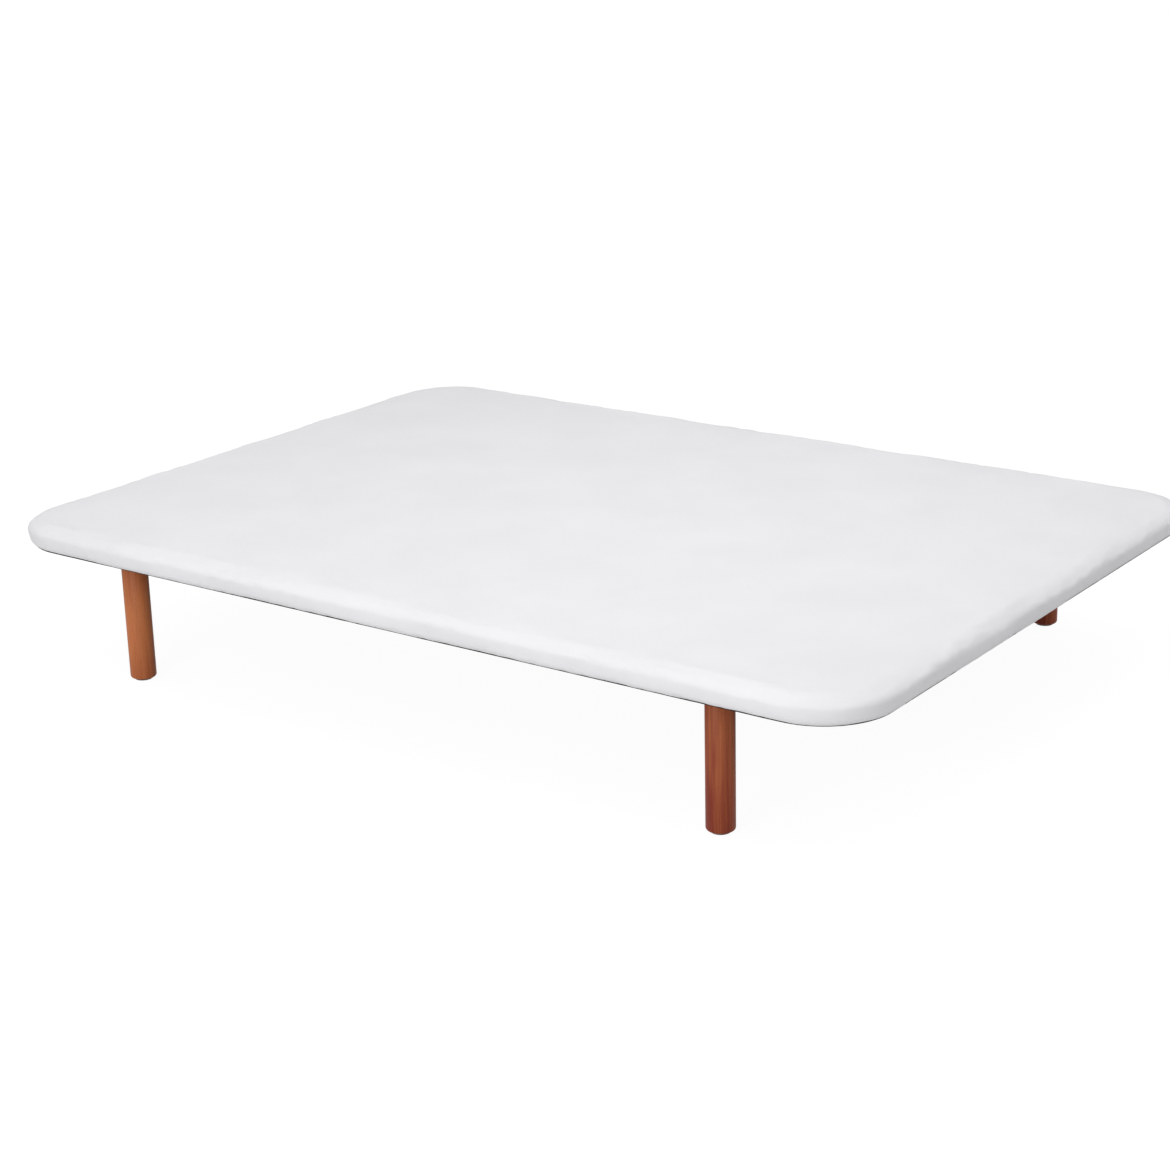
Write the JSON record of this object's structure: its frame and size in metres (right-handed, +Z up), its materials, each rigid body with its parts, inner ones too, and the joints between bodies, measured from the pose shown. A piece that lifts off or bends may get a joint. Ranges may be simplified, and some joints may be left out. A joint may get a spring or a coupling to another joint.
{
  "type": "upholstered bed base",
  "caption": "Thin upholstered bed base with rounded corners and a rolled white fabric edge, on round wooden legs.",
  "frame": {"origin": "on the floor, under the centre of the base", "axes": "+X along the length, from the head end to the foot end; +Y across the width, to the right side; +Z up"},
  "size_m": [1.9, 1.35, 0.2943],
  "materials": {
    "cover_fabric": "matte",
    "dust_fabric": "matte",
    "foam": "matte",
    "hardboard": "satin",
    "frame_steel": "satin",
    "zinc_steel": "satin",
    "leg_wood": "satin",
    "glide_plastic": "matte"
  },
  "bodies": {
    "root": {"side_rail_left": "frame_steel", "side_rail_right": "frame_steel", "end_rail_head": "frame_steel", "end_rail_foot": "frame_steel", "corner_bend_head_left": "frame_steel", "corner_bend_foot_left": "frame_steel", "corner_bend_foot_right": "frame_steel", "corner_bend_head_right": "frame_steel", "cross_rail_1": "frame_steel", "cross_rail_2": "frame_steel", "cross_rail_3": "frame_steel", "cross_rail_4": "frame_steel", "cross_rail_5": "frame_steel", "leg_bush_head_left": "zinc_steel", "leg_bush_foot_left": "zinc_steel", "leg_bush_foot_right": "zinc_steel", "leg_bush_head_right": "zinc_steel", "deck_board_head": "hardboard", "deck_board_foot": "hardboard", "deck_screw_01": "zinc_steel", "deck_screw_02": "zinc_steel", "deck_screw_03": "zinc_steel", "deck_screw_04": "zinc_steel", "deck_screw_05": "zinc_steel", "deck_screw_06": "zinc_steel", "deck_screw_07": "zinc_steel", "deck_screw_08": "zinc_steel", "deck_screw_09": "zinc_steel", "deck_screw_10": "zinc_steel", "deck_screw_11": "zinc_steel", "deck_screw_12": "zinc_steel", "deck_screw_13": "zinc_steel", "deck_screw_14": "zinc_steel", "deck_screw_15": "zinc_steel", "deck_screw_16": "zinc_steel", "foam_pad": "foam", "cover": "cover_fabric", "dust_cover": "dust_fabric", "leg_head_left": "leg_wood", "leg_foot_left": "leg_wood", "leg_foot_right": "leg_wood", "leg_head_right": "leg_wood", "leg_stud_head_left": "zinc_steel", "leg_stud_foot_left": "zinc_steel", "leg_stud_foot_right": "zinc_steel", "leg_stud_head_right": "zinc_steel", "leg_glide_head_left": "glide_plastic", "leg_glide_foot_left": "glide_plastic", "leg_glide_foot_right": "glide_plastic", "leg_glide_head_right": "glide_plastic"}
  },
  "joints": []
}
